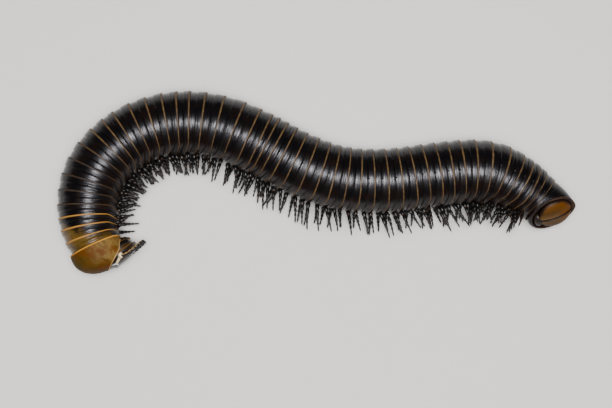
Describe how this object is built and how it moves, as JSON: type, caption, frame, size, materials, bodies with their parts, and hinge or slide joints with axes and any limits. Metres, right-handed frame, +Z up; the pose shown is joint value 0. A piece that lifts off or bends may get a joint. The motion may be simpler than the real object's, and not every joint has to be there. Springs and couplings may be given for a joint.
{
  "type": "millipede model",
  "caption": "Life-size still model of a large glossy black millipede with gold ring margins and an olive-gold collum, lying on its side in an S-shaped curve.",
  "frame": {"origin": "middle of the footprint, on the floor that the animal lies on", "axes": "+Z up, +X from the head's side of the S towards the tail along its length, +Y towards the animal's back"},
  "size_m": [0.0882, 0.0312, 0.0108],
  "materials": {
    "ring_shell": "gloss",
    "gold_shell": "satin",
    "head_shell": "gloss",
    "mouth_shell": "satin",
    "limb": "gloss",
    "eye": "gloss"
  },
  "bodies": {
    "root": {"anal_valve_left": "gold_shell", "anal_valve_right": "gold_shell", "antenna_left": "limb", "antenna_right": "limb", "collum": "gold_shell", "eye_left": "eye", "eye_right": "eye", "head": "head_shell", "mouthparts": "mouth_shell", "subanal_scale": "mouth_shell", "telson": "ring_shell", "trunk_01": "ring_shell", "trunk_02": "ring_shell", "trunk_03": "ring_shell", "trunk_04": "ring_shell", "trunk_05": "ring_shell", "trunk_06": "ring_shell", "trunk_07": "ring_shell", "trunk_08": "ring_shell", "trunk_09": "ring_shell", "trunk_10": "ring_shell", "trunk_11": "ring_shell", "trunk_12": "ring_shell"}
  },
  "joints": []
}
